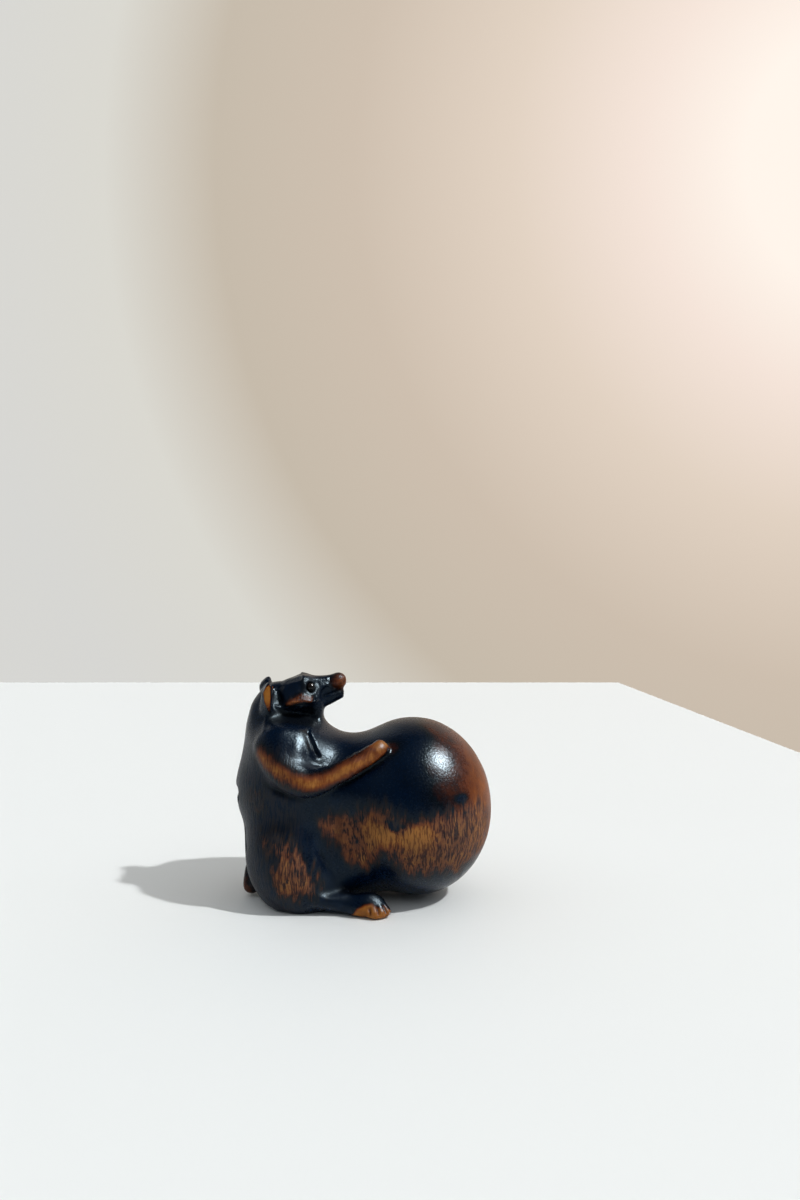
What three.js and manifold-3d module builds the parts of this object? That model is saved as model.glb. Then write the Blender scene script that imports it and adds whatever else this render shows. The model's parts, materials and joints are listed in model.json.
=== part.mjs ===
// A netsuke: a seated tanuki, the raccoon dog of Japan, leaning its swollen belly before it and
// drumming on it with both paws, its head thrown back. It is carved from one block of boxwood,
// with two eyes of dark horn let in, and a cord channel bored through the back.
//
// Millimetres. +X is the way the tanuki faces, +Y its left side, +Z up. The origin is on the
// surface it sits on, under the middle of the carving.
import * as THREE from 'three';
import { mergeVertices } from 'three/addons/utils/BufferGeometryUtils.js';
import Module from 'manifold-3d';

const wasm = await Module();
wasm.setup();

// Driving dimensions.
const LENGTH = 42;                 // from the back to the front of the belly
const HEIGHT = 36;                 // from the seat to the top of the nose
const BELLY_WIDTH = 26;
const TORSO_WIDTH = 19.5;
const TOES = 4;
const EYE_RADIUS = 0.85;
const EYE_GAP = 0.05;              // round the horn bead, in its socket
const CORD_RADIUS = 1.2;           // of the channel that the cord runs through
const KNOT_RADIUS = 1.75;          // of its wider mouth, which takes the knot

const vec = (x, y, z) => new THREE.Vector3(x, y, z);

// The figure's forms are placed on its right side, at -Y, and mirrored to its left.
const onRight = (v) => v;
const onLeft = (v) => vec(v.x, -v.y, v.z);
const pair = (make) => [make(onRight), make(onLeft)];

// ---------------------------------------------------------------- forms
// A form is a function of a point: the distance to its surface, below zero inside the wood.

// An ellipsoid with these half axes, turned by roll, pitch and yaw in degrees about its centre.
function ellipsoid(centre, half, turn = [0, 0, 0]) {
  const angles = turn.map(THREE.MathUtils.degToRad);
  const inverse = new THREE.Matrix4().makeRotationFromEuler(new THREE.Euler(...angles, 'ZYX')).invert();
  const e = inverse.elements;
  return (x, y, z) => {
    const dx = x - centre.x;
    const dy = y - centre.y;
    const dz = z - centre.z;
    const px = (e[0] * dx + e[4] * dy + e[8] * dz) / half[0];
    const py = (e[1] * dx + e[5] * dy + e[9] * dz) / half[1];
    const pz = (e[2] * dx + e[6] * dy + e[10] * dz) / half[2];
    const k0 = Math.hypot(px, py, pz);
    const k1 = Math.hypot(px / half[0], py / half[1], pz / half[2]);
    return k1 < 1e-9 ? -Math.min(...half) : (k0 * (k0 - 1)) / k1;
  };
}

// A round limb that follows a smooth curve through its stations, each a point and a radius.
function limb(stations, steps = 5) {
  const curve = new THREE.CatmullRomCurve3(stations.map(([point]) => point), false, 'centripetal');
  const last = stations.length - 1;
  const count = last * steps;
  const beads = [];
  for (let i = 0; i <= count; i++) {
    const t = i / count;
    const at = Math.min(Math.floor(t * last), last - 1);
    const radius = THREE.MathUtils.lerp(stations[at][1], stations[at + 1][1], t * last - at);
    beads.push([curve.getPoint(t), radius]);
  }
  return (x, y, z) => {
    let best = Infinity;
    for (let i = 0; i < count; i++) {
      const [a, ra] = beads[i];
      const [b, rb] = beads[i + 1];
      const ux = b.x - a.x;
      const uy = b.y - a.y;
      const uz = b.z - a.z;
      const along = ((x - a.x) * ux + (y - a.y) * uy + (z - a.z) * uz) / (ux * ux + uy * uy + uz * uz);
      const s = Math.min(Math.max(along, 0), 1);
      const far = Math.hypot(x - a.x - s * ux, y - a.y - s * uy, z - a.z - s * uz);
      best = Math.min(best, far - ra - s * (rb - ra));
    }
    return best;
  };
}

// Forms flowing into each other over a fillet of about this width, which may vary with the height.
function blend(width, ...forms) {
  return (x, y, z) => {
    const w = typeof width === 'function' ? width(z) : width;
    let d = forms[0](x, y, z);
    for (let i = 1; i < forms.length; i++) {
      const e = forms[i](x, y, z);
      const h = Math.max(w - Math.abs(d - e), 0) / w;
      d = Math.min(d, e) - (h * h * w) / 4;
    }
    return d;
  };
}

// The first form with a cut the shape of the second, its edges eased over this width.
function carve(width, form, cut) {
  return (x, y, z) => {
    const d = form(x, y, z);
    const e = -cut(x, y, z);
    const h = Math.max(width - Math.abs(d - e), 0) / width;
    return Math.max(d, e) + (h * h * width) / 4;
  };
}

// ---------------------------------------------------------------- the tanuki

const belly = ellipsoid(vec(8.35, 0, 14.5), [12.65, BELLY_WIDTH / 2, 14.3], [0, -4, 0]);

function torso() {
  const rump = ellipsoid(vec(-10, 0, 6.6), [8.8, TORSO_WIDTH / 2, 8.6]);
  const back = ellipsoid(vec(-10.35, 0, 17.6), [10.6, TORSO_WIDTH / 2, 11], [0, -6, 0]);
  const chest = ellipsoid(vec(-3, 0, 16.2), [8.2, 9.2, 8.4]);
  const lap = ellipsoid(vec(-1, 0, 8), [8.4, 9, 8.2]);
  const shoulders = pair((side) => ellipsoid(side(vec(-12, -4.6, 24.4)), [5.4, 4.6, 4.6], [0, 24, 0]));
  return blend(3, rump, back, chest, lap, ...shoulders);
}

function neck() {
  const nape = limb([[vec(-14.2, 0, 25), 5.4], [vec(-14.9, 0, 29.3), 4], [vec(-14.2, 0, 31.8), 3.1]]);
  const throat = limb([[vec(-10, 0, 24.5), 3.8], [vec(-9.9, 0, 28.4), 3.1], [vec(-8.8, 0, 31.2), 2.5]]);
  return blend(1.4, nape, throat);
}

// The thigh runs down and forwards to the knee.
function haunch(side) {
  return ellipsoid(side(vec(-10.8, -5.1, 6)), [6.4, 6.2, 9.6], [0, -27, 0]);
}

// The belly swells smoothly out of the chest, but is set off from the thighs by a groove.
function trunk() {
  const seated = blend(3.2, blend(1.8, torso(), neck()), ...pair(haunch));
  const fillet = (z) => THREE.MathUtils.lerp(1.4, 4.6, THREE.MathUtils.smoothstep(z, 11, 21));
  return blend(fillet, seated, belly);
}

// The left arm is held a little lower than the right one.
function arm(side, drop) {
  const bent = limb([
    [side(vec(-13.6, -5.6, 24.6)), 3.6],
    [side(vec(-11.4, -8.2, 21.8)), 3.2],
    [side(vec(-8.1, -9.7, 20.1)), 2.4],
    [side(vec(-4.2, -9.7, 21.3 - drop / 2)), 1.85],
    [side(vec(-0.3, -9.2, 23.3 - drop)), 1.65],
    [side(vec(2.8, -8.3, 25 - drop)), 1.6],
  ], 4);
  const deltoid = ellipsoid(side(vec(-11.4, -6, 24.6)), [4.3, 3.1, 3.8], [0, 24, 0]);
  return blend(1.8, bent, deltoid);
}

function shin(side) {
  return limb([
    [side(vec(-7.2, -8.4, 3.2)), 2.6],
    [side(vec(-3.6, -8.9, 2)), 1.8],
    [side(vec(-0.6, -9.5, 1.5)), 1.4],
  ], 3);
}

// The hind foot lies flat, its toes fanned outwards.
function foot(side) {
  const sole = ellipsoid(side(vec(0.8, -9.8, 1.45)), [3.2, 1.9, 1.6]);
  const toes = Array.from({ length: TOES }, (_, i) => {
    const fan = THREE.MathUtils.degToRad(80 - 24 * i);
    const tip = side(vec(1.5 + 2.45 * Math.cos(fan), -10 - 1.65 * Math.sin(fan), 0.85));
    return ellipsoid(tip, [0.95, 0.72, 0.85]);
  });
  return blend(0.5, sole, ...toes);
}

function leg(side) {
  return blend(0.8, shin(side), foot(side));
}

function tail() {
  return limb([[vec(-17, -0.2, 7.4), 1.1], [vec(-17.9, -0.5, 4.4), 1.45], [vec(-18.1, -1.2, 1.7), 1.6]], 3);
}

// The head is modelled facing +X about the middle of the skull, then turned and set on the neck.
const HEAD_AT = vec(-10.6, 0, 32.5);
const HEAD_PITCH = -9;
const HEAD_YAW = 9;
const HEAD_ROLL = 3;
const headTurn = [HEAD_ROLL, HEAD_PITCH, HEAD_YAW].map(THREE.MathUtils.degToRad);
const headMatrix = new THREE.Matrix4()
  .makeRotationFromEuler(new THREE.Euler(...headTurn, 'ZYX'))
  .setPosition(HEAD_AT);
const EYE_AT = vec(2, -2.5, 1.3);

function head() {
  const skull = ellipsoid(vec(-0.6, 0, 0), [3.9, 3.5, 3]);
  const brows = pair((side) => ellipsoid(side(vec(1, -1.4, 2.05)), [1.5, 1.5, 1.25], [0, -16, 0]));
  const cheeks = pair((side) => ellipsoid(side(vec(0, -2.5, -0.7)), [3.1, 1.5, 1.2], [0, -4, 0]));
  const muzzle = limb([[vec(1.8, 0, 0.5), 2.3], [vec(4.6, 0, 0.85), 1.6], [vec(6.4, 0, 1.1), 1.2]]);
  const nose = ellipsoid(vec(6.85, 0, 1.25), [1.25, 1.15, 1.25]);
  const jaw = limb([[vec(1.2, 0, -1.6), 1.8], [vec(4.4, 0, -1.35), 1.3], [vec(6.6, 0, -1), 0.95]]);
  return blend(0.6, blend(0.9, skull, ...brows, ...cheeks, muzzle), nose, jaw);
}

// An upright leaf of an ear, hollowed on its front and rooted in the nape.
function ear(side) {
  const leaf = ellipsoid(side(vec(-4.9, -3.2, 0.75)), [0.85, 1.9, 2.8], [0, 9, 0]);
  const root = limb([[side(vec(-5.2, -2.2, -2.6)), 1.9], [side(vec(-5.4, -2.9, 1.4)), 0.7]], 3);
  const hollow = ellipsoid(side(vec(-4, -3.3, 0.7)), [0.6, 1.15, 2], [0, 9, 0]);
  return carve(0.3, blend(0.8, leaf, root), hollow);
}

// ---------------------------------------------------------------- from a form to a mesh

// Grid lines from the first stop to the last, as close together between two stops as the second
// number of the first of them says.
function gridLines(...stops) {
  const lines = [];
  for (let i = 0; i + 1 < stops.length; i++) {
    const [from, spacing] = stops[i];
    const [to] = stops[i + 1];
    const count = Math.round((to - from) / spacing);
    for (let k = 0; k < count; k++) lines.push(from + ((to - from) * k) / count);
  }
  lines.push(stops[stops.length - 1][0]);
  return lines;
}

// An even grid over a box with these opposite corners.
function evenGrid(low, high, cell) {
  return ['x', 'y', 'z'].map((axis) => gridLines(
    [Math.min(low[axis], high[axis]), cell], [Math.max(low[axis], high[axis])]));
}

// The surface of a form as a closed mesh: one vertex in each cell of the grid that the surface
// crosses, and one quad across each grid line that it cuts.
function skin(form, [xs, ys, zs]) {
  const [nx, ny, nz] = [xs.length, ys.length, zs.length];
  const at = (i, j, k) => (k * ny + j) * nx + i;
  const values = new Float64Array(nx * ny * nz);
  for (let k = 0; k < nz; k++)
    for (let j = 0; j < ny; j++)
      for (let i = 0; i < nx; i++) values[at(i, j, k)] = form(xs[i], ys[j], zs[k]);

  const corners = [0, 1, 2, 3, 4, 5, 6, 7].map((n) => [n & 1, (n >> 1) & 1, (n >> 2) & 1]);
  const edges = [];
  for (let a = 0; a < 8; a++)
    for (const bit of [1, 2, 4]) if (!(a & bit)) edges.push([a, a | bit]);

  const cellVertex = new Int32Array(nx * ny * nz).fill(-1);
  const positions = [];
  for (let k = 0; k + 1 < nz; k++)
    for (let j = 0; j + 1 < ny; j++)
      for (let i = 0; i + 1 < nx; i++) {
        const sum = [0, 0, 0];
        let crossings = 0;
        for (const [a, b] of edges) {
          const [p, q] = [corners[a], corners[b]];
          const va = values[at(i + p[0], j + p[1], k + p[2])];
          const vb = values[at(i + q[0], j + q[1], k + q[2])];
          if (va < 0 === vb < 0) continue;
          const t = va / (va - vb);
          sum[0] += THREE.MathUtils.lerp(xs[i + p[0]], xs[i + q[0]], t);
          sum[1] += THREE.MathUtils.lerp(ys[j + p[1]], ys[j + q[1]], t);
          sum[2] += THREE.MathUtils.lerp(zs[k + p[2]], zs[k + q[2]], t);
          crossings++;
        }
        if (!crossings) continue;
        cellVertex[at(i, j, k)] = positions.length / 3;
        positions.push(...onSurface(form, sum.map((s) => s / crossings)));
      }

  const index = [];
  const point = (n) => vec(positions[3 * n], positions[3 * n + 1], positions[3 * n + 2]);
  const quad = (a, b, c, d, flip) => {
    const [p, q, r, s] = flip ? [a, d, c, b] : [a, b, c, d];
    if (point(p).distanceTo(point(r)) < point(q).distanceTo(point(s))) index.push(p, q, r, p, r, s);
    else index.push(q, r, s, q, s, p);
  };
  for (let k = 0; k + 1 < nz; k++)
    for (let j = 0; j + 1 < ny; j++)
      for (let i = 0; i + 1 < nx; i++) {
        const inside = values[at(i, j, k)] < 0;
        const cell = (dx, dy, dz) => cellVertex[at(i - dx, j - dy, k - dz)];
        if (j && k && inside !== values[at(i + 1, j, k)] < 0)
          quad(cell(0, 1, 1), cell(0, 0, 1), cell(0, 0, 0), cell(0, 1, 0), !inside);
        if (i && k && inside !== values[at(i, j + 1, k)] < 0)
          quad(cell(1, 0, 1), cell(1, 0, 0), cell(0, 0, 0), cell(0, 0, 1), !inside);
        if (i && j && inside !== values[at(i, j, k + 1)] < 0)
          quad(cell(1, 1, 0), cell(0, 1, 0), cell(0, 0, 0), cell(1, 0, 0), !inside);
      }

  const geometry = new THREE.BufferGeometry();
  geometry.setAttribute('position', new THREE.Float32BufferAttribute(positions, 3));
  geometry.setIndex(index);
  return geometry;
}

// A point near a form, moved along the steepest way onto its surface.
function onSurface(form, point) {
  const step = 0.02;
  let [x, y, z] = point;
  for (let round = 0; round < 3; round++) {
    const d = form(x, y, z);
    const gx = (form(x + step, y, z) - form(x - step, y, z)) / (2 * step);
    const gy = (form(x, y + step, z) - form(x, y - step, z)) / (2 * step);
    const gz = (form(x, y, z + step) - form(x, y, z - step)) / (2 * step);
    const move = THREE.MathUtils.clamp(d, -0.25, 0.25) / Math.max(gx * gx + gy * gy + gz * gz, 0.25);
    x -= gx * move;
    y -= gy * move;
    z -= gz * move;
  }
  return [x, y, z];
}

// ---------------------------------------------------------------- solids

// A closed three.js geometry as a manifold-3d solid.
function solid(geometry) {
  const bare = geometry.clone();
  bare.deleteAttribute('normal');
  bare.deleteAttribute('uv');
  const merged = mergeVertices(bare, 1e-4);
  return new wasm.Manifold(new wasm.Mesh({
    numProp: 3,
    vertProperties: new Float32Array(merged.attributes.position.array),
    triVerts: new Uint32Array(merged.index.array),
  }));
}

// A manifold-3d solid as a three.js geometry.
function geometryOf(made) {
  const mesh = made.getMesh();
  const geometry = new THREE.BufferGeometry();
  geometry.setAttribute('position', new THREE.Float32BufferAttribute(mesh.vertProperties, 3));
  geometry.setIndex(new THREE.Uint32BufferAttribute(mesh.triVerts, 1));
  geometry.computeVertexNormals();
  return geometry;
}

// What lies under the seat is cut away flat.
function underTheSeat() {
  const depth = 8;
  return solid(new THREE.BoxGeometry(2 * LENGTH, 2 * LENGTH, depth).translate(0, 0, -depth / 2));
}

// The cord goes in at the upper hole of the back, turns inside the wood and comes out at the lower one.
const CORD_IN = vec(-21.4, -2.2, 16.7);
const CORD_OUT = vec(-20, -2.6, 9);
function cordChannel() {
  const inside = vec(-15.6, -2.2, (CORD_IN.z + CORD_OUT.z) / 2);
  const path = new THREE.CatmullRomCurve3([
    CORD_IN.clone().add(vec(-1.5, 0, 0.8)),
    CORD_IN,
    inside.clone().add(vec(-1.4, 0, 2.4)),
    inside,
    inside.clone().add(vec(-1.4, 0, -2.4)),
    CORD_OUT,
    CORD_OUT.clone().add(vec(-1.5, 0, -0.8)),
  ]);
  const section = new THREE.Shape().absarc(0, 0, CORD_RADIUS, 0, 2 * Math.PI, false);
  const bore = new THREE.ExtrudeGeometry(section, { steps: 14, curveSegments: 5, extrudePath: path });
  const mouth = new THREE.SphereGeometry(KNOT_RADIUS, 14, 8).scale(1.5, 1, 1.15)
    .translate(CORD_OUT.x + 1, CORD_OUT.y, CORD_OUT.z);
  return solid(bore).add(solid(mouth));
}

function eyeCentre(side) {
  return side(EYE_AT.clone()).applyMatrix4(headMatrix);
}

function eyeBead(side, radius) {
  return new THREE.SphereGeometry(radius, 12, 8).translate(...eyeCentre(side).toArray());
}

const boxwood = new THREE.MeshStandardMaterial({ color: 0x2b2119, roughness: 0.32, metalness: 0 });
const horn = new THREE.MeshStandardMaterial({ color: 0x07080a, roughness: 0.12, metalness: 0 });

function figure() {
  const trunkGrid = [
    gridLines([-LENGTH / 2 - 3, 1.55], [-2, 2], [LENGTH / 2 + 3]),
    gridLines([-BELLY_WIDTH / 2 - 2, 1.7], [BELLY_WIDTH / 2 + 2]),
    gridLines([-5, 2], [-1, 1.4], [12.8, 1.75], [25.05, 1.5], [HEIGHT + 1]),
  ];
  let made = solid(skin(trunk(), trunkGrid));
  made = made.add(solid(skin(tail(), evenGrid(vec(-21, -4, -1), vec(-15, 2, 9.5), 0.85))));
  const headGrid = evenGrid(vec(-5, -5, -4.5), vec(9.5, 5, 5), 0.66);
  made = made.add(solid(skin(head(), headGrid).applyMatrix4(headMatrix)));
  for (const side of [onRight, onLeft]) {
    const earGrid = evenGrid(side(vec(-7.6, -5.6, -5)), side(vec(-2.6, 0, 4)), 0.66);
    const armGrid = evenGrid(side(vec(-18, -13, 16)), side(vec(5, -1, 29.5)), 1.05);
    const legGrid = evenGrid(side(vec(-11, -13.5, -2)), side(vec(6, -4, 7)), 0.85);
    made = made.add(solid(skin(ear(side), earGrid).applyMatrix4(headMatrix)));
    made = made.add(solid(skin(arm(side, side === onLeft ? 1.2 : 0), armGrid)));
    made = made.add(solid(skin(leg(side), legGrid)));
    made = made.subtract(solid(eyeBead(side, EYE_RADIUS + EYE_GAP)));
  }
  made = made.subtract(underTheSeat()).subtract(cordChannel());
  const mesh = new THREE.Mesh(geometryOf(made), boxwood);
  mesh.name = 'tanuki';
  return mesh;
}

function eye(name, side) {
  const mesh = new THREE.Mesh(eyeBead(side, EYE_RADIUS), horn);
  mesh.name = name;
  return mesh;
}

const netsuke = new THREE.Group();
netsuke.add(figure(), eye('right_eye', onRight), eye('left_eye', onLeft));

export default netsuke;
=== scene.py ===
# %% [markdown]
# # A carved boxwood netsuke: a sitting animal that hugs a huge round belly
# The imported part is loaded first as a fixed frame, in metres. The looks are built round it: one carved
# body that stands for the faceted wooden solid, and two horn beads that stand for the eyes.

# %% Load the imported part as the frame
import bpy
import json
import math
import numpy as np
from mathutils import Matrix, Vector
from mathutils.bvhtree import BVHTree

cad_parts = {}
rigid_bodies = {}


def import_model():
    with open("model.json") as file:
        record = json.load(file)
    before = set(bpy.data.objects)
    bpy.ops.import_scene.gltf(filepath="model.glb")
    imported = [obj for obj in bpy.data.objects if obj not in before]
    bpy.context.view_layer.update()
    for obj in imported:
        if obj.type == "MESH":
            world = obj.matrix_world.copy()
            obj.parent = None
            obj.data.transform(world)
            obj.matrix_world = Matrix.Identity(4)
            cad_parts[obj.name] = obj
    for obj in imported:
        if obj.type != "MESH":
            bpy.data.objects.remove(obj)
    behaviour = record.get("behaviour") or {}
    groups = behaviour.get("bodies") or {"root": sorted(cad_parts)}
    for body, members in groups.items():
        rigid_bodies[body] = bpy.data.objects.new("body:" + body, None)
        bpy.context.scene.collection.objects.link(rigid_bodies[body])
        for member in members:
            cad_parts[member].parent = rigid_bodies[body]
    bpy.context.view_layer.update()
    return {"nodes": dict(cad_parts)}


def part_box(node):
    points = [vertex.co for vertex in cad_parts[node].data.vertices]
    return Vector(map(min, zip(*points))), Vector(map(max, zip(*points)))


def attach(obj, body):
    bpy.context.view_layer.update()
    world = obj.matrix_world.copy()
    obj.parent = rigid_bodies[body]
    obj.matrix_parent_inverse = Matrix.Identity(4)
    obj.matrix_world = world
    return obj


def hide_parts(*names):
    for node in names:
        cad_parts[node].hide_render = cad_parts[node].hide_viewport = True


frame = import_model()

MM = 0.001

# %% [markdown]
# ## The camera, the table and the light
# The small carving stands near the far corner of a pale table, with a plain warm wall behind that glows with
# painted light, brightest round one point. The camera is level and close. One clear key light comes down
# from the right at about 50 degrees and throws a soft-edged shadow to the left. A polished dark surface
# shows everything round it as haze, so the rest is kept apart: a wider light from the key's place is seen
# only by the polish and makes the highlights, a very broad one from above only lifts the shadows, and the
# sky is dim, darkest overhead and behind.

# %% Camera
CAMERA_AT = (6 * MM, -132 * MM, 48.4 * MM)
camera_data = bpy.data.cameras.new("camera")
camera_data.sensor_width = 36.0
camera_data.lens = 24.03
camera_data.clip_start = 0.005
camera_data.shift_y = -0.0017
camera = bpy.data.objects.new("camera", camera_data)
camera.location = CAMERA_AT
camera.rotation_euler = (math.radians(90), 0, 0)
bpy.context.scene.collection.objects.link(camera)
bpy.context.scene.camera = camera
print("camera at", tuple(camera.location), "lens", camera_data.lens)


# %% A plain finish, and two helpers for operators
def matt(name, colour, roughness=0.9):
    """A plain rough finish with one colour."""
    material = bpy.data.materials.new(name)
    material.use_nodes = True
    shader = material.node_tree.nodes["Principled BSDF"]
    shader.inputs["Base Color"].default_value = (*colour, 1)
    shader.inputs["Roughness"].default_value = roughness
    shader.inputs["Specular IOR Level"].default_value = 0.3
    return material


def only(piece=None):
    """Operators act on all that is selected, so each step selects one piece, or none."""
    if bpy.context.object and bpy.context.object.mode != "OBJECT":
        bpy.ops.object.mode_set(mode="OBJECT")
    bpy.ops.object.select_all(action="DESELECT")
    if piece:
        piece.select_set(True)
        bpy.context.view_layer.objects.active = piece


def place_in_mesh(piece):
    """Put the object's place, turn and size into its mesh, so that the object sits at the origin."""
    only(piece)
    bpy.ops.object.transform_apply(location=True, rotation=True, scale=True)


# %% A helper that adds shader nodes and links them
class Wiring:
    """Adds nodes to one tree; a value is a number, a colour or vector, or another node's output."""

    def __init__(self, tree):
        self.tree = tree

    def node(self, kind, **settings):
        made = self.tree.nodes.new(kind)
        for key, value in settings.items():
            setattr(made, key, value)
        return made

    def put(self, value, socket):
        if isinstance(value, (int, float)):
            socket.default_value = value
        elif isinstance(value, tuple):
            socket.default_value = (*value, 1) if len(socket.default_value) == 4 else value
        else:
            self.tree.links.new(value, socket)

    def feed(self, made, values):
        """Put values into a node's inputs, by name or number, and give back its outputs."""
        for name, value in values.items():
            self.put(value, made.inputs[name])
        return made.outputs

    def math(self, operation, *values):
        return self.feed(self.node("ShaderNodeMath", operation=operation), dict(enumerate(values)))[0]

    def vector(self, operation, *values, out="Vector"):
        return self.feed(self.node("ShaderNodeVectorMath", operation=operation), dict(enumerate(values)))[out]

    def mix(self, share, a, b, blend="MIX"):
        made = self.node("ShaderNodeMix", data_type="RGBA", blend_type=blend)
        return self.feed(made, {0: share, 6: a, 7: b})[2]

    def noise(self, vector, scale, detail=2.0, rough=0.5, twist=0.0, out="Fac"):
        return self.feed(self.node("ShaderNodeTexNoise"), {
            "Vector": vector, "Scale": scale, "Detail": detail, "Roughness": rough, "Distortion": twist})[out]

    def ramp(self, value, *stops):
        made = self.node("ShaderNodeValToRGB")
        elements = made.color_ramp.elements
        while len(elements) < len(stops):
            elements.new(0.5)
        for element, (position, colour) in zip(elements, stops):
            element.position = position
            element.color = (*colour, 1)
        self.put(value, made.inputs[0])
        return made.outputs[0]

    def between(self, value, low, high, to_low=0.0, to_high=1.0):
        """Smoothly from to_low to to_high while the value goes from low to high."""
        return self.feed(self.node("ShaderNodeMapRange", interpolation_type="SMOOTHSTEP"), {
            "Value": value, "From Min": low, "From Max": high, "To Min": to_low, "To Max": to_high})["Result"]

    def clamp(self, value):
        return self.feed(self.node("ShaderNodeClamp"), {0: value})[0]


# %% Table top
TABLE_EDGE_X, TABLE_EDGE_Y = 0.131, 0.327
only()
bpy.ops.mesh.primitive_plane_add(size=1, location=(TABLE_EDGE_X - 0.5, TABLE_EDGE_Y - 0.5, 0))
table = bpy.context.object
table.name = "table"
table.data.materials.append(matt("pale_table", (0.81, 0.85, 0.87), 0.6))
place_in_mesh(table)
print("table to y =", TABLE_EDGE_Y)

# %% Wall, with painted light: it glows though it is no lamp, and the glow falls off round one point
WALL_Y = 1.1
WALL_GLOW_STOPS = ((0.15, (0.95, 0.86, 0.78)), (0.26, (0.86, 0.73, 0.65)), (0.40, (0.71, 0.60, 0.50)),
              (0.57, (0.57, 0.48, 0.39)), (0.72, (0.52, 0.455, 0.37)), (0.84, (0.66, 0.65, 0.60)),
              (1.00, (0.64, 0.64, 0.62)))
only()
bpy.ops.mesh.primitive_plane_add(size=3, location=(0, WALL_Y, 0.3), rotation=(math.radians(90), 0, 0))
wall = bpy.context.object
wall.name = "wall"
place_in_mesh(wall)
wall_finish = matt("warm_wall_painted_glow", (0.08, 0.07, 0.06))
plaster = Wiring(wall_finish.node_tree)
wall_place = plaster.node("ShaderNodeTexCoord").outputs["Object"]
from_glow = plaster.vector("DISTANCE", wall_place, (0.75, WALL_Y, 0.72), out="Value")
painted_wall_light = plaster.ramp(plaster.math("MULTIPLY", from_glow, 0.7), *WALL_GLOW_STOPS)
wall_shader = wall_finish.node_tree.nodes["Principled BSDF"]
# Painted light: the emission stands for the lit wall, brightest round one point.
plaster.put(painted_wall_light, wall_shader.inputs["Emission Color"])
wall_shader.inputs["Emission Strength"].default_value = 1.0
wall.data.materials.append(wall_finish)
print("wall at y =", WALL_Y)

# %% Key light, highlight light and overhead fill
TO_LIGHT = Vector((0.60, -0.21, 0.77)).normalized()


def sunlight(name, to_light, energy, angle, colour):
    """A far light that shines from one direction."""
    data = bpy.data.lights.new(name, "SUN")
    data.energy = energy
    data.angle = math.radians(angle)
    data.color = colour
    light = bpy.data.objects.new(name, data)
    light.rotation_euler = Vector(to_light).to_track_quat("Z", "Y").to_euler()
    bpy.context.scene.collection.objects.link(light)
    return light


sunlight("key", TO_LIGHT, 2.05, 2.2, (1.0, 0.985, 0.96))
sheen = sunlight("key_sheen", TO_LIGHT, 8.8, 17, (1.0, 1.0, 1.0))
sheen.visible_diffuse = False
overhead = sunlight("overhead_fill", (0, 0, 1), 1.3, 120, (1.0, 0.98, 0.93))
overhead.visible_glossy = False
print("light from", [round(c, 3) for c in TO_LIGHT])

# %% Sky: dim, darker overhead (Z) and behind the camera (Y)
DARK_SKY, PALE_SKY = (0.02, 0.035, 0.055), (0.42, 0.43, 0.44)
world = bpy.data.worlds.new("soft_sky")
bpy.context.scene.world = world
world.use_nodes = True
sky = Wiring(world.node_tree)
for node in list(sky.tree.nodes):
    sky.tree.nodes.remove(node)
sky_way = sky.node("ShaderNodeSeparateXYZ")
sky.put(sky.node("ShaderNodeTexCoord").outputs["Generated"], sky_way.inputs[0])
from_zenith = sky.between(sky_way.outputs["Z"], 0.82, 0.52)
pale = sky.math("MULTIPLY", from_zenith, sky.between(sky_way.outputs["Y"], -0.80, -0.15))
backdrop = sky.node("ShaderNodeBackground")
sky.put(sky.mix(pale, DARK_SKY, PALE_SKY), backdrop.inputs[0])
sky.put(backdrop.outputs[0], sky.node("ShaderNodeOutputWorld").inputs[0])
bpy.context.scene.view_settings.view_transform = "Standard"
print("sky nodes:", len(sky.tree.nodes))

# %% [markdown]
# ## The carved body
# The faceted solid has all the main forms in place, so the body starts as a copy of it: merged, subdivided
# once to round off the facets, and remeshed into small even squares. The broad forms are then smoothed a
# lot, and the arms, paws, feet and head only a little, so that they keep their size.

# %% Copy the solid, merge it and turn it into an even skin
SKIN = 0.31 * MM
body = bpy.data.objects.new("carved_body", frame["nodes"]["tanuki"].data.copy())
bpy.context.scene.collection.objects.link(body)
body.data.materials.clear()


def edit_all(piece):
    """Go into edit mode on one piece, with all of it selected."""
    only(piece)
    bpy.ops.object.mode_set(mode="EDIT")
    bpy.ops.mesh.select_all(action="SELECT")


def add_and_apply(piece, kind, **settings):
    """Add one modifier to a piece and apply it at once."""
    only(piece)
    modifier = piece.modifiers.new(kind.lower(), kind)
    for key, value in settings.items():
        setattr(modifier, key, value)
    bpy.ops.object.modifier_apply(modifier=modifier.name)


edit_all(body)
bpy.ops.mesh.remove_doubles(threshold=0.002 * MM)
bpy.ops.object.mode_set(mode="OBJECT")
add_and_apply(body, "SUBSURF", levels=1, render_levels=1)
add_and_apply(body, "REMESH", mode="VOXEL", voxel_size=SKIN)
print("even skin:", len(body.data.polygons), "faces")


# %% Read and write the skin's points, in millimetres
def rows(elements, field):
    """Three numbers for each vertex, normal or face of a mesh."""
    values = np.empty(len(elements) * 3, np.float32)
    elements.foreach_get(field, values)
    return values.reshape(-1, 3).astype(float)


def points_of(piece):
    return rows(piece.data.vertices, "co") / MM


def normals_of(piece):
    return rows(piece.data.vertex_normals, "vector")


def edges_of(piece):
    """The two vertices of each edge."""
    ends = np.empty(len(piece.data.edges) * 2, np.int64)
    piece.data.edges.foreach_get("vertices", ends)
    return ends.reshape(-1, 2)


def set_points(piece, points):
    piece.data.vertices.foreach_set("co", (points * MM).astype(np.float32).ravel())
    piece.data.update()


def smoothstep(low, high, value):
    t = np.clip((value - low) / (high - low), 0, 1)
    return t * t * (3 - 2 * t)


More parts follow.
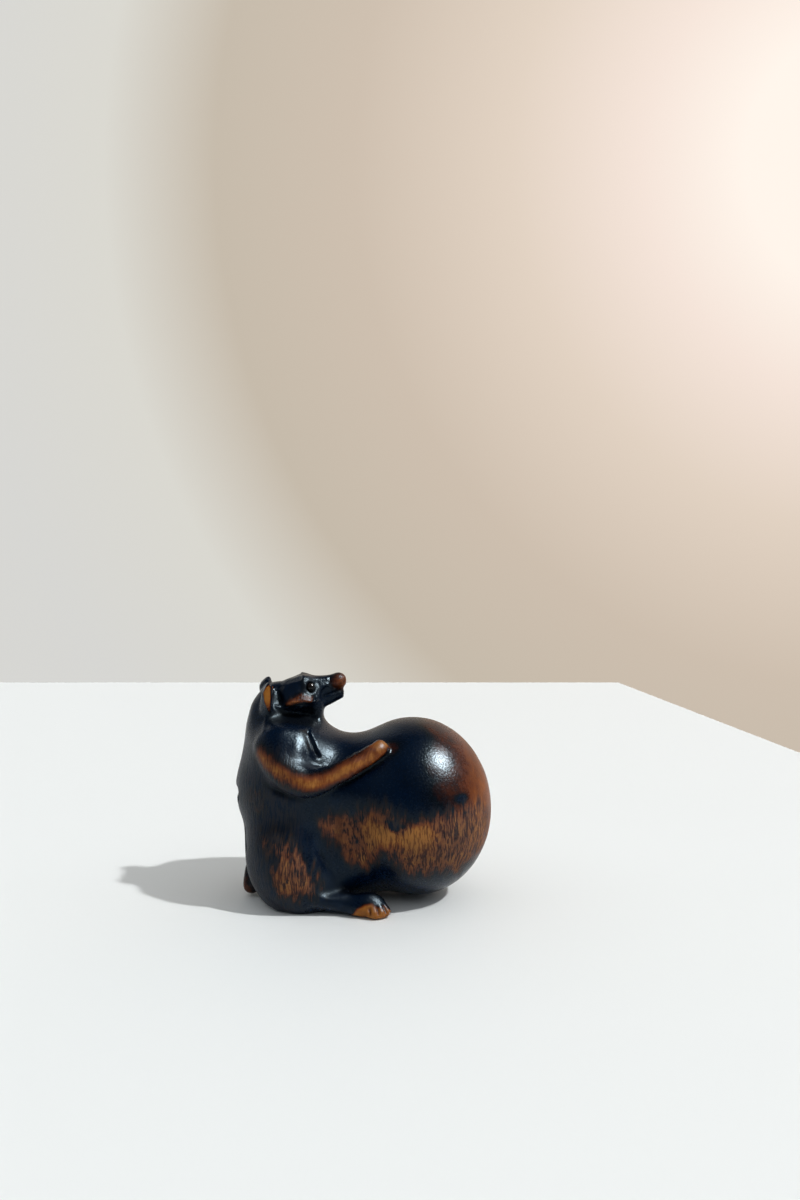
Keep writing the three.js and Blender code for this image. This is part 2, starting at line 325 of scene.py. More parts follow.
# %% The places of the main forms, as in the solid
HEAD_AT = np.array((-10.6, 0.0, 32.5))
HEAD_TURN = np.array(
    Matrix.Rotation(math.radians(9), 3, "Z")
    @ Matrix.Rotation(math.radians(-9), 3, "Y")
    @ Matrix.Rotation(math.radians(3), 3, "X")
)
ARM = np.array(((-13.6, -5.6, 24.6), (-11.4, -8.2, 21.8), (-8.1, -9.7, 20.1), (-4.2, -9.7, 21.3),
                (-0.3, -9.2, 23.3), (2.8, -8.3, 25.0)))
ARM_RADII = np.array((3.6, 3.2, 2.4, 1.85, 1.65, 1.6))
LEFT_DROP = 1.2
LEFT_ARM = ARM * (1, -1, 1) - (0, 0, LEFT_DROP)
FOOT = np.array(((-7.2, -8.4, 3.2), (-3.6, -8.9, 2.0), (-0.6, -9.7, 1.6), (2.8, -10.0, 1.3)))
TAIL = np.array(((-17.0, -0.2, 7.4), (-17.9, -0.5, 4.4), (-18.1, -1.2, 1.7)))
CORD_HOLES = np.array((((-21.4, -2.2, 16.7), (-18.0, -2.3, 15.0)), ((-20.4, -2.6, 9.0), (-17.6, -2.5, 11.0))))


def mirrored_head(points):
    """A point on the near side of the head, moved to the same place on its far side."""
    local = (np.asarray(points, float) - HEAD_AT) @ HEAD_TURN
    return (local * (1, -1, 1)) @ HEAD_TURN.T + HEAD_AT


def near_line(points, line, radii=None):
    """For each point: distance to a line (less its radius), share along it, nearest point and direction."""
    best = np.full(len(points), 1e9)
    along = np.zeros(len(points))
    nearest = np.zeros((len(points), 3))
    heading = np.zeros((len(points), 3))
    steps = np.linalg.norm(np.diff(line, axis=0), axis=1)
    starts = np.concatenate(((0,), np.cumsum(steps)))
    for i, (a, b) in enumerate(zip(line[:-1], line[1:])):
        t = np.clip((points - a) @ (b - a) / max(steps[i] ** 2, 1e-9), 0, 1)
        q = a + t[:, None] * (b - a)
        distance = np.linalg.norm(points - q, axis=1)
        if radii is not None:
            distance = distance - (radii[i] + t * (radii[i + 1] - radii[i]))
        closer = distance < best
        best[closer] = distance[closer]
        along[closer] = ((starts[i] + t * steps[i]) / starts[-1])[closer]
        nearest[closer] = q[closer]
        heading[closer] = (b - a) / max(steps[i], 1e-9)
    return best, along, nearest, heading


print("head at", HEAD_AT, "arm length", np.linalg.norm(np.diff(ARM, axis=0), axis=1).sum().round(1))

# %% Smooth broad forms a lot, small forms a little
SMOOTHING_PASSES, LEVELS = 38, 20
skin = points_of(body)
freedom = np.ones(len(skin))
for line in (ARM, LEFT_ARM):
    clear = near_line(skin, line, ARM_RADII)[0]
    freedom = np.minimum(freedom, 0.12 + 0.88 * smoothstep(0.5, 2.5, clear))
for line in (FOOT, FOOT * (1, -1, 1), TAIL):
    clear = near_line(skin, line, np.full(len(line), 1.7))[0]
    freedom = np.minimum(freedom, 0.08 + 0.92 * smoothstep(0.4, 1.8, clear))
head_side = smoothstep(28.8, 31.0, skin[:, 2]) * (skin[:, 0] < -2)
freedom = np.minimum(freedom, 1 - 0.94 * head_side)
for line in CORD_HOLES:
    clear = near_line(skin, line, np.full(len(line), 1.6))[0]
    freedom = np.minimum(freedom, 0.06 + 0.94 * smoothstep(0.5, 1.8, clear))
for y_way in (-1, 1):
    on_breast = np.linalg.norm((skin - (-6.8, 6.8 * y_way, 25.8)) / (3.4, 3.2, 3.4), axis=1)
    freedom = np.maximum(freedom, 0.9 * smoothstep(1.0, 0.6, on_breast) * (skin[:, 2] > 23.4))
seat_side = smoothstep(0.6, 0.1, skin[:, 2])
freedom = np.minimum(freedom, 1 - 0.95 * seat_side)
group = body.vertex_groups.new(name="freedom")
for level in range(1, LEVELS + 1):
    members = np.nonzero(np.round(freedom * LEVELS) == level)[0]
    if len(members):
        group.add([int(i) for i in members], level / LEVELS, "REPLACE")
add_and_apply(body, "SMOOTH", factor=0.5, iterations=SMOOTHING_PASSES, vertex_group="freedom")
print("smoothed; lowest freedom", freedom.min().round(2))

# %% [markdown]
# ## Finer squares where the carving is fine
# The face, the ears, the front feet and the fold at the breast have details under half a millimetre, so
# the squares there are split in four. The big smooth belly needs none of that.

# %% Split the squares on head, feet and breast fold
def select_faces(piece, chosen):
    """Select just these faces of one piece, ready for edit mode."""
    only(piece)
    for elements in (piece.data.vertices, piece.data.edges, piece.data.polygons):
        elements.foreach_set("select", np.zeros(len(elements), bool))
    piece.data.polygons.foreach_set("select", chosen)


middle = rows(body.data.polygons, "center") / MM
on_head = (middle[:, 2] > 29.2) & (middle[:, 0] < -2)
on_foot = (middle[:, 2] < 3.3) & (middle[:, 0] > -3) & (middle[:, 0] < 6) & (np.abs(middle[:, 1]) > 7)
fine = on_head | on_foot
for y in (-6.8, 6.8):
    fine |= (np.abs(middle - (-7.6, y, 25.6)) < (2.6, 2.2, 3.2)).all(axis=1)
select_faces(body, fine)
bpy.ops.object.mode_set(mode="EDIT")
bpy.ops.mesh.select_mode(type="FACE")
bpy.ops.mesh.subdivide(number_cuts=1, quadcorner="INNERVERT")
bpy.ops.mesh.select_all(action="SELECT")
bpy.ops.mesh.normals_make_consistent(inside=False)
bpy.ops.object.mode_set(mode="OBJECT")
body.data.calc_loop_triangles()
print("triangles in the body:", len(body.data.loop_triangles))

# %% [markdown]
# ## Carving strokes
# Each stroke is a line of points on the skin: the skin near it moves along its own normal, by a smooth
# profile that fades out at both ends. Strokes on the near side are repeated on the far side, the head's
# in its own turned frame. Planes are pared flat, and uneven places are rubbed down.

# %% The strokes
class Carving:
    """The points and normals of one skin while it is carved."""

    def __init__(self, piece):
        self.piece = piece
        self.read()

    def read(self):
        self.points = points_of(self.piece)
        self.normals = normals_of(self.piece)
        corners = [tuple(p) for p in self.points]
        faces = [tuple(polygon.vertices) for polygon in self.piece.data.polygons]
        self.tree = BVHTree.FromPolygons(corners, faces)

    def save(self):
        set_points(self.piece, self.points)
        self.read()

    def on_skin(self, line, dense=0.35):
        """A smooth line through the given points, laid on the skin."""
        line = np.asarray(line, float)
        if len(line) > 2:
            path = [line[0]]
            for i in range(len(line) - 1):
                before, after = line[max(i - 1, 0)], line[min(i + 2, len(line) - 1)]
                a, b = line[i], line[i + 1]
                steps = max(1, int(np.linalg.norm(b - a) / dense))
                for t in np.arange(1, steps + 1) / steps:
                    path.append(0.5 * (2 * a + (b - before) * t + (2 * before - 5 * a + 4 * b - after) * t * t
                                       + (3 * a - before - 3 * b + after) * t ** 3))
            line = np.array(path)
        return np.array([tuple(self.tree.find_nearest(Vector(p))[0]) for p in line])

    def stroke(self, line, width, depth, shape="groove", up=(0, 0, 1), ends=0.25):
        """Move the skin along a line: groove, ridge, or step (raised on the up side, cut in on the other)."""
        line = self.on_skin(line)
        reach = width * 3
        low, high = line.min(axis=0) - reach, line.max(axis=0) + reach
        chosen = np.nonzero(((self.points > low) & (self.points < high)).all(axis=1))[0]
        if not len(chosen):
            return
        points = self.points[chosen]
        distance, along, nearest, heading = near_line(points, line)
        fade = np.ones(len(points)) if ends == 0 else smoothstep(0, ends, along) * smoothstep(0, ends, 1 - along)
        if shape == "step":
            across = np.cross(heading, self.normals[chosen])
            side = np.sign((across @ np.asarray(up, float)) + 1e-9)
            offset = np.einsum("ij,ij->i", points - nearest, across) * side / width
            amount = depth * offset * np.exp(0.5 - offset ** 2)
        else:
            amount = depth * np.exp(-((distance / width) ** 2)) * (1 if shape == "ridge" else -1)
        amount = np.where(distance < reach, amount * fade, 0)
        self.points[chosen] = points + self.normals[chosen] * amount[:, None]

    def pare(self, centre, normal, radius, soft=0.25):
        """Slice off whatever stands above a small plane, as one flat cut of a knife."""
        centre, normal = np.asarray(centre, float), np.asarray(normal, float)
        normal = normal / np.linalg.norm(normal)
        away = self.points - centre
        above = away @ normal
        flat = np.linalg.norm(away - above[:, None] * normal, axis=1)
        chosen = np.nonzero((above > 0) & (above < 1.2) & (flat < radius) & (self.normals @ normal > 0.2))[0]
        share = smoothstep(1.0, 1 - soft, flat[chosen] / radius)
        self.points[chosen] -= normal * (above[chosen] * share)[:, None]

    def push(self, centre, radius, amount, along=None):
        """Press the skin in or draw it out in a smooth round patch; radius may be one number per axis."""
        centre, radius = np.asarray(centre, float), np.asarray(radius, float)
        distance = np.linalg.norm((self.points - centre) / radius, axis=1)
        chosen = np.nonzero(distance < 1)[0]
        fade = (1 - distance[chosen] ** 2) ** 2
        way = self.normals[chosen] if along is None else np.asarray(along, float)[None, :]
        self.points[chosen] += way * (amount * fade)[:, None]

    def relax(self, centre, radius, times, spare=None):
        """Rub down small bumps in a round patch; spare is (centre, radius) of a hole that keeps its rim."""
        share = smoothstep(1.0, 0.55, np.linalg.norm((self.points - centre) / radius, axis=1))
        if spare is not None:
            share *= smoothstep(spare[1], spare[1] * 1.35, np.linalg.norm(self.points - spare[0], axis=1))
        edges = edges_of(self.piece)
        edges = edges[(share[edges] > 0).any(axis=1)]
        used, local = np.unique(edges, return_inverse=True)
        a, b = local.reshape(-1, 2).T
        count = np.bincount(np.concatenate((a, b)), minlength=len(used))[:, None]
        points, weight = self.points[used], 0.5 * share[used][:, None]
        for _ in range(times):
            total = np.stack([np.bincount(a, points[b, i], len(used)) + np.bincount(b, points[a, i], len(used))
                              for i in range(3)], axis=1)
            points = points + weight * (total / count - points)
        self.points[used] = points


carving = Carving(body)
# Lines along creases and cord-hole rims, darkened later: wax in the cut and painted shade in the crease.
WAX_AND_SHADE_LINES = []
SIDES = (np.array, lambda points: np.asarray(points, float) * (1, -1, 1))
HEAD_SIDES = (np.array, mirrored_head)
print("ready to carve", len(carving.points), "points")

# %% The breast fold: a cut with a raised lip beside it, from the throat down to the forearm
def at(side, point):
    """A point, as it lies on that side."""
    return side([point])[0]


def turned(side, way):
    """A direction, as it points on that side."""
    return at(side, way) - at(side, (0, 0, 0))


for side in SIDES:
    carving.relax(at(side, (-9.9, -8.2, 25.3)), (3.8, 3.8, 3.4), 100)
    carving.relax(at(side, (-6.6, -7.0, 25.8)), (2.8, 2.8, 2.8), 40)
carving.save()
for side in SIDES:
    breast = at(side, (-5.9, -6.2, 26.0))
    breast_way = turned(side, (0.40, -0.50, 0.77))
    carving.pare(breast - 0.25 * breast_way, breast_way, 2.8, soft=0.9)
    fold = side([(-8.6, -5.7, 28.2), (-8.1, -6.5, 27.1), (-7.6, -7.2, 25.8), (-7.0, -7.7, 24.6), (-6.1, -7.9, 23.5)])
    lip = side([(-9.1, -6.2, 27.9), (-8.7, -6.9, 26.9), (-8.2, -7.5, 25.6), (-7.6, -7.9, 24.4), (-6.9, -8.1, 23.5)])
    carving.stroke(lip, 0.48, 0.26, "ridge", ends=0.3)
    carving.stroke(fold, 0.32, 0.62, ends=0.2)
    carving.push(at(side, (-9.6, -9.4, 25.1)), 1.8, 0.18)
    carving.relax(at(side, (-6.9, -9.2, 22.8)), 1.3, 20)
    # The fold is darkened later as painted shade in the crease.
    WAX_AND_SHADE_LINES.append((carving.on_skin(fold), 0.32))
carving.save()
print("breast fold cut")

# %% Clean cuts where arms and legs meet the body
UNDER_ARM = [(-14.6, -8.7, 19.7), (-11.4, -9.6, 18.5), (-8.3, -9.9, 18.0), (-5.3, -9.8, 18.8),
             (-2.6, -9.3, 20.1), (0.3, -9.2, 21.6), (2.9, -9.3, 23.2), (4.6, -8.9, 25.0)]
OVER_ARM = [(-6.2, -8.6, 23.2), (-4.3, -9.2, 23.5), (-2.2, -9.4, 24.3), (0.0, -8.8, 25.6), (2.4, -8.0, 26.7)]
HAUNCH = [(-7.4, -9.3, 12.0), (-6.5, -9.4, 10.2), (-5.4, -9.6, 8.2), (-4.4, -9.5, 6.4), (-3.0, -9.0, 4.6)]
for side, drop in zip(SIDES, (0, LEFT_DROP)):
    for line in (UNDER_ARM, OVER_ARM):
        line = side(line) - (0, 0, drop)
        carving.stroke(line, 0.38, 0.46, ends=0.12)
        # These cuts are darkened later as painted shade under and over the arms.
        WAX_AND_SHADE_LINES.append((carving.on_skin(line), 0.42))
    carving.stroke(side(HAUNCH), 0.8, 0.55, ends=0.4)
carving.save()
print("arms and legs outlined")

# %% Planes of the head, pared flat with the knife: temples, crown, muzzle and cheeks
PLANES = (
    ((-11.68, -3.26, 33.55), (-0.15, -0.90, 0.42), 2.3, 0.16),   # temple
    ((-11.1, -2.1, 35.05), (-0.28, -0.45, 0.85), 1.7, 0.10),     # crown
    ((-13.35, -2.65, 33.5), (-0.50, -0.60, 0.62), 1.0, 0.08),    # behind the temple
    ((-6.74, -1.22, 34.3), (0.26, -0.85, 0.46), 1.4, 0.10),      # upper muzzle
    ((-5.8, -0.55, 32.7), (0.30, -0.93, -0.15), 1.5, 0.08),      # lower muzzle
    ((-10.0, -3.86, 32.1), (0.05, -0.98, 0.18), 1.3, 0.08),      # cheek
    ((-8.3, -3.3, 32.2), (0.62, -0.76, 0.15), 1.0, 0.10),        # front of the cheek
)
for side in HEAD_SIDES:
    for centre, normal, radius, deep in PLANES:
        way = turned(side, normal)
        carving.pare(at(side, centre) - deep * way / np.linalg.norm(way), way, radius)
carving.save()
print("planes pared:", 2 * len(PLANES))

# %% Brow, bridge and nose
for side in HEAD_SIDES:
    brow = side([(-10.2, -1.1, 36.0), (-9.8, -2.1, 35.6), (-9.5, -2.75, 34.9), (-9.4, -3.0, 33.9),
                 (-9.45, -3.3, 32.9)])
    carving.stroke(brow, 0.30, 0.22, "ridge", ends=0.2)
    nose_edge = side([(-5.5, 0.1, 35.6), (-5.5, -0.6, 35.1), (-5.4, -0.8, 34.4), (-5.1, -0.6, 33.8),
                      (-4.4, -0.1, 33.4)])
    carving.stroke(nose_edge, 0.26, 0.20, ends=0.2)
    nostril = side([(-3.3, 0.1, 34.9), (-3.25, 0.05, 34.5), (-3.5, -0.1, 34.2)])
    carving.stroke(nostril, 0.18, 0.16, ends=0.3)
carving.push((-4.1, 0.6, 34.7), 2.0, 0.20)
carving.save()
print("brow and nose carved")

# %% Cheeks: a raised edge, a deep hollow below it down the neck, and a thin mouth line
for side in HEAD_SIDES:
    cheek = side([(-12.5, -3.6, 30.9), (-11.4, -3.95, 31.2), (-10.4, -4.0, 31.5), (-9.4, -3.8, 31.6),
                  (-8.5, -3.35, 31.5), (-7.8, -2.8, 31.7)])
    carving.stroke(cheek, 0.40, 0.36, "step", up=turned(side, (0, 0, 1)), ends=0.15)
    cheek_top = side([(-11.6, -3.6, 32.2), (-10.7, -3.6, 32.7), (-9.9, -3.5, 33.1)])
    carving.stroke(cheek_top, 0.30, 0.12, ends=0.3)
    front = side([(-7.75, -2.9, 33.1), (-7.7, -2.7, 32.3), (-7.8, -2.6, 31.6)])
    carving.stroke(front, 0.28, 0.22, ends=0.3)
    mouth = side([(-3.1, 0.3, 33.35), (-3.9, 0.15, 33.1), (-4.9, -0.1, 32.8), (-5.8, -0.5, 32.5), (-6.6, -0.9, 32.2)])
    carving.stroke(mouth, 0.18, 0.16, ends=0.15)
    carving.push(at(side, (-10.0, -4.3, 29.2)), (5.2, 3.6, 2.6), 2.2, along=turned(side, (0.0, 1.0, 0.0)))
    carving.relax(at(side, (-10.4, -4.6, 28.6)), (5.0, 3.6, 2.2), 12)
    carving.relax(at(side, (-13.6, -4.6, 28.9)), 2.0, 25)
carving.save()
print("cheeks and neck cut")

# %% Eye rims and lids round the sockets
EYES = {"right_eye": np.array((2, -2.5, 1.3)), "left_eye": np.array((2, 2.5, 1.3))}


def eye_frame(local):
    """An eye's centre and its outward direction, in the part's frame."""
    centre = local @ HEAD_TURN.T + HEAD_AT
    outward = np.array((0.42, np.sign(local[1]) * 0.88, 0.2))
    return centre, outward / np.linalg.norm(outward) @ HEAD_TURN.T


for local in EYES.values():
    centre, outward = eye_frame(local)
    side_way = np.cross(outward, (0, 0, 1))
    side_way /= np.linalg.norm(side_way)
    up_way = np.cross(side_way, outward)
    carving.relax(centre, 2.5, 5, spare=(centre, 1.02))
    outer = [centre + outward * 0.3 + 1.5 * (math.cos(a) * side_way + math.sin(a) * up_way)
             for a in np.linspace(0, 2 * math.pi, 25)]
    carving.stroke(outer, 0.25, 0.06, ends=0)
carving.save()
print("eye rims raised")

# %% Ears: a flat outer face, a deep hollow, and the two small folds at the root
for side in HEAD_SIDES:
    face_way = turned(side, (-0.15, -0.95, 0.2))
    carving.pare(at(side, (-14.8, -5.2, 32.4)), face_way, 2.6)
    for spot in side([(-13.9, -3.0, 33.3), (-13.6, -3.2, 32.5), (-13.4, -3.3, 31.8)]):
        carving.push(spot, 1.0, 0.5, along=turned(side, (0.25, 0.95, 0.0)))
    fold_low = side([(-14.3, -3.6, 31.2), (-13.6, -3.6, 31.0), (-12.9, -3.5, 30.8)])
    carving.stroke(fold_low, 0.26, 0.22, "ridge", ends=0.3)
    fold_high = side([(-13.9, -2.9, 33.2), (-13.3, -3.0, 32.9), (-12.7, -3.2, 32.7)])
    carving.stroke(fold_high, 0.2, 0.14, "ridge", ends=0.3)
    carving.push(at(side, (-16.2, -2.9, 34.6)), 1.6, 0.35, along=turned(side, (-0.78, 0.0, 0.62)))
    nape_edge = side([(-14.9, -4.9, 30.1), (-15.3, -5.0, 29.3), (-15.4, -5.6, 28.5), (-15.3, -6.4, 27.9),
                      (-15.1, -7.6, 27.3)])
    carving.stroke(nape_edge, 0.28, 0.16, "ridge", ends=0.2)
carving.push((-16.7, 2.6, 33.5), (1.9, 2.4, 2.2), 0.6, along=(-0.85, 0.0, 0.5))
for side in HEAD_SIDES:
    carving.relax(at(side, (-13.6, -3.4, 32.0)), 1.9, 3)
carving.save()
print("ears shaped")

# %% Feet: the toes' grooves and the heel line
for side in SIDES:
    carving.push(at(side, (1.7, -10.0, 2.7)), (3.4, 2.4, 1.9), 0.55, along=(0.0, 0.0, 1.0))
    for toe in ([(1.2, -12.3, 0.5), (1.45, -12.0, 1.2), (1.3, -11.5, 1.9)],
                [(2.75, -12.3, 0.5), (2.75, -11.9, 1.25), (2.4, -11.3, 2.1)],
                [(3.9, -11.5, 0.5), (3.8, -11.2, 1.2), (3.2, -10.7, 2.1)]):
        carving.stroke(side(toe), 0.2, 0.34, ends=0.3)
    carving.push(at(side, (-4.6, -9.5, 4.3)), (3.2, 2.6, 2.0), 0.85, along=(0.0, 0.0, -1.0))
    carving.relax(at(side, (-4.6, -9.8, 3.8)), (2.8, 2.4, 2.0), 18)
    carving.push(at(side, (-5.2, -10.2, 3.6)), (2.0, 1.6, 1.4), -0.3)
carving.save()
print("toes cut")

# %% Tail, with an edge on both sides, and the worn rims of the two cord holes
for y in (-1.3, 0.9):
    carving.stroke([(-17.6, y, 6.8), (-18.1, y - 0.2, 4.4), (-18.2, y - 0.4, 2.0)], 0.35, 0.25, ends=0.2)
for rim, width in (([(-20.3, -4.8, 16.5), (-20.8, -3.0, 16.7), (-21.0, -1.0, 16.8), (-20.9, 0.8, 16.8)], 0.6),
                   ([(-18.7, -4.3, 12.4), (-18.4, -5.0, 11.2), (-18.0, -5.7, 9.8), (-17.6, -6.2, 8.4)], 0.42)):
    carving.stroke(rim, width, 0.75, ends=0.2)
    # The cord-hole rims are darkened later as painted shade in the slit.
    WAX_AND_SHADE_LINES.append((carving.on_skin(rim), width + 0.1))
carving.save()
print("tail and cord holes outlined")

# %% Clean normals and smooth shading
edit_all(body)
bpy.ops.mesh.normals_make_consistent(inside=False)
bpy.ops.object.mode_set(mode="OBJECT")
bpy.ops.object.shade_smooth()
print("body box:", points_of(body).min(axis=0).round(2), points_of(body).max(axis=0).round(2))

# %% [markdown]
# ## The eyes
# The real eyes are small beads of dark horn let into drilled sockets, polished to a high gloss. Each bead
# is a ball with a pupil cut on its front: the front faces are inset and pushed in for a fine ring, then
# raised again as a low dome. One bead is modelled, and the other is a copy with its own mesh.

# %% One horn bead
EYE_RADIUS, PUPIL_HALF_ANGLE = 0.66, math.radians(34)
only()
bpy.ops.mesh.primitive_uv_sphere_add(segments=40, ring_count=24, radius=EYE_RADIUS * MM)
right_bead = bpy.context.object
right_bead.name = "right_horn_bead"
heights = np.array([polygon.center.z for polygon in right_bead.data.polygons]) / MM
select_faces(right_bead, heights > EYE_RADIUS * math.cos(PUPIL_HALF_ANGLE))
bpy.ops.object.mode_set(mode="EDIT")
bpy.ops.mesh.select_mode(type="FACE")
for depth in (-0.015, 0.0, 0.018):
    bpy.ops.mesh.inset(thickness=0.03 * MM, depth=depth * MM)
bpy.ops.object.mode_set(mode="OBJECT")
add_and_apply(right_bead, "SUBSURF", levels=1, render_levels=1)
bpy.ops.object.shade_smooth()
left_bead = bpy.data.objects.new("left_horn_bead", right_bead.data.copy())
bpy.context.scene.collection.objects.link(left_bead)
for bead, name in ((right_bead, "right_eye"), (left_bead, "left_eye")):
    low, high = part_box(name)
    outward = eye_frame(EYES[name])[1]
    bead.location = (low + high) / 2 - Vector(outward * 0.05 * MM)
    bead.rotation_euler = Vector(outward).to_track_quat("Z", "Y").to_euler()
    place_in_mesh(bead)
    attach(bead, "root")
    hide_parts(name)
    print(bead.name, "at", [round(c / MM, 2) for c in (low + high) / 2])

# %% [markdown]
# ## Where the stain is rubbed off
# The whole carving was stained almost black. Long handling has rubbed it back to amber on what stands
# proud: the ridge of the arms, the paws, the ears, cheeks and nose, the haunches and feet, and in broad
# patches low on the belly and on its outer end. These places are painted on the skin as four attributes,
# one number per point: rubbed (how much stain is gone), streaked (how much it is broken into hair lines),
# one for hollows (how deep a point lies in a groove or recess: wax and dirt stay black there, and the
# recesses, the neck under the head, the eye sockets and the creases also get painted shade) and matted
# (where the polish is dulled).

# %% Measure ridges and grooves from the skin itself
skin = points_of(body)
normals = normals_of(body)
first, second = edges_of(body).T
count = np.bincount(np.concatenate((first, second)), minlength=len(skin)).astype(float)


def spread(values, times):
    """Average a value over the neighbours along the mesh, a number of times."""
    for _ in range(times):
        if values.ndim == 1:
            total = np.bincount(first, values[second], len(skin))
            total += np.bincount(second, values[first], len(skin))
            values = 0.5 * values + 0.5 * total / count
        else:
            values = np.stack([spread(column, 1) for column in values.T], axis=1)
    return values


bulge = np.einsum("ij,ij->i", skin - spread(skin, 8), normals)
bulge = spread(bulge, 3)
proud = smoothstep(0.015, 0.10, bulge)
# Concave places are darkened later: wax and dirt in the grooves, and painted shade in the recesses.
wax_and_painted_shade = smoothstep(0.02, 0.12, -bulge)
print("proud points:", int((proud > 0.5).sum()), " sunk points:", int((wax_and_painted_shade > 0.5).sum()))


# %% Brushes: a filled outline seen from one side, and a line along the skin
def inside(outline, x, z):
    """Signed distance to a closed outline in the upright plane: positive inside it."""
    outline = np.asarray(outline, float)
    nearest = np.full(len(x), 1e9)
    within = np.zeros(len(x), bool)
    for (ax, az), (bx, bz) in zip(outline, np.roll(outline, -1, axis=0)):
        dx, dz = bx - ax, bz - az
        t = np.clip(((x - ax) * dx + (z - az) * dz) / (dx * dx + dz * dz), 0, 1)
        nearest = np.minimum(nearest, np.hypot(x - ax - t * dx, z - az - t * dz))
        crosses = ((az > z) != (bz > z)) & (x < ax + (z - az) * dx / (dz if dz else 1e-9))
        within ^= crosses
    return np.where(within, nearest, -nearest)


def fill(outline, feather, sides=(-1, 1), move=(0, 0), ragged=0.0):
    """A soft patch on one or both flanks, with a ragged edge; the far one can be moved, to differ."""
    result = np.zeros(len(skin))
    for side in sides:
        x, z = (skin[:, 0], skin[:, 2]) if side < 0 else (skin[:, 0] - move[0], skin[:, 2] - move[1])
        flank = smoothstep(0.5, 3.0, side * skin[:, 1])
        fingers = np.sin(2.7 * x + 0.9 * z) + 0.7 * np.sin(5.1 * x - 1.7 * z + 1.0)
        depth = inside(outline, x, z) + ragged * fingers
        result = np.maximum(result, flank * smoothstep(-feather, feather, depth))
    return result


def brush(line, width, ends=0.12):
    """A soft band along a line of points."""
    distance, along, _, _ = near_line(skin, np.asarray(line, float))
    return np.exp(-((distance / width) ** 2)) * smoothstep(0, ends, along + 0.02) * smoothstep(0, ends, 1.02 - along)


def dab(centre, radius):
    """A soft round spot; radius may be one number per axis."""
    return np.exp(-(((skin - centre) / radius) ** 2).sum(axis=1))


def over(*layers):
    """At every point the strongest of some painted layers."""
    return np.maximum.reduce(layers)


# %% Paint the belly; the first number of each layer says how bare the wood gets
BELLY_PATCH = [(-6.3, 14.0), (-4.6, 15.6), (-2.9, 15.4), (-1.3, 14.7), (-0.2, 16.1), (1.0, 16.7), (3.8, 17.3),
               (6.3, 15.7), (7.9, 15.1), (10.5, 15.7), (13.0, 16.1), (15.6, 16.6), (18.4, 16.9), (19.8, 14.2),
               (19.8, 9.8), (17.2, 7.8), (15.0, 5.7), (12.4, 7.0), (9.8, 6.3), (6.8, 6.7), (5.0, 9.2),
               (3.8, 10.9), (3.0, 9.8), (0.9, 7.0), (-1.4, 7.8), (-3.5, 9.9), (-5.1, 11.9)]
AMBER_CORE = [(0.5, 13.4), (1.6, 15.6), (3.0, 14.4), (4.6, 13.4), (6.4, 13.2), (8.0, 14.2), (10.3, 14.9),
              (11.6, 13.0), (10.4, 10.9), (8.6, 9.9), (6.6, 11.0), (4.6, 11.2), (2.6, 10.4), (0.9, 11.8)]
DARK_NOTCH = [(4.2, 14.9), (5.4, 15.3), (6.3, 14.4), (5.7, 13.5), (4.5, 13.4)]
x, y, z = skin.T
out_x, out_y, out_z = normals.T
belly_patch = fill(BELLY_PATCH, 1.7, move=(1.5, -0.8), ragged=0.35)
amber_core = fill(AMBER_CORE, 0.9, move=(2.0, -1.2))
wobble = 0.07 * np.sin(0.55 * y + 0.3 * z) + 0.05 * np.sin(1.3 * y - 0.7 * z + 1.0)
turned_out = out_x + 0.30 * np.maximum(out_z, 0) * smoothstep(3, 11, x) + wobble
outer_end = smoothstep(5, 8, x) * smoothstep(4, 10, z) * smoothstep(0.20, 0.56, turned_out)
outer_end *= 0.38 + 0.26 * smoothstep(0.45, 0.85, out_x)
red_band = dab((13.5, -10.4, 19.0), (3.4, 3.0, 2.8)) + dab((13.8, 10.2, 18.4), (3.0, 3.0, 2.6))
rubbed = (0.60 - 0.16 * smoothstep(13.2, 16.0, z)) * belly_patch + 0.36 * amber_core
rubbed = over(rubbed, outer_end, 0.42 * np.minimum(red_band, 1))
rubbed -= 0.5 * fill(DARK_NOTCH, 0.5, sides=(-1,)) + 0.7 * dab((15.5, -10.2, 17.9), (1.0, 1.5, 0.6))
streaked = over(belly_patch * (1 - 0.45 * amber_core), 0.7 * outer_end * smoothstep(16.5, 13.0, z))
print("belly painted, mean rub", rubbed.mean().round(3))

# %% Paint arms, paws, haunches and feet
ARM_RIDGE = [(-16.8, -7.6, 25.0), (-15.0, -9.4, 23.8), (-12.8, -11.0, 22.3), (-10.5, -11.8, 21.2), (-8.0, -12.0, 20.5),
             (-5.2, -11.8, 20.9), (-2.4, -11.2, 22.3), (0.5, -10.6, 23.6), (3.3, -9.6, 25.2)]
PAW = [(2.6, -9.4, 25.4), (4.2, -8.6, 26.0)]
HAUNCH_PATCH = [(-10.2, 10.2), (-11.7, 9.1), (-12.9, 8.3), (-13.0, 7.0), (-13.2, 5.2), (-12.4, 3.2), (-10.2, 2.6),
                (-8.3, 3.4), (-6.5, 2.8), (-6.1, 4.1), (-7.0, 6.2), (-7.8, 7.8), (-9.0, 9.0)]
THIGH_PATCH = [(-15.6, 12.0), (-13.6, 13.4), (-11.4, 12.4), (-9.4, 10.6), (-9.0, 8.8), (-11.6, 8.4), (-14.4, 9.2)]
FLANK_PATCH = [(-17.6, 19.6), (-15.0, 18.9), (-14.3, 16.8), (-15.2, 14.4), (-17.2, 14.8), (-18.2, 17.0)]
FOOT_PATCH = [(-1.3, 0.4), (-0.5, 1.6), (0.7, 2.2), (1.8, 2.4), (2.6, 1.8), (3.8, 1.9), (5.6, 1.0), (5.6, -1.0),
              (-1.3, -1.0)]
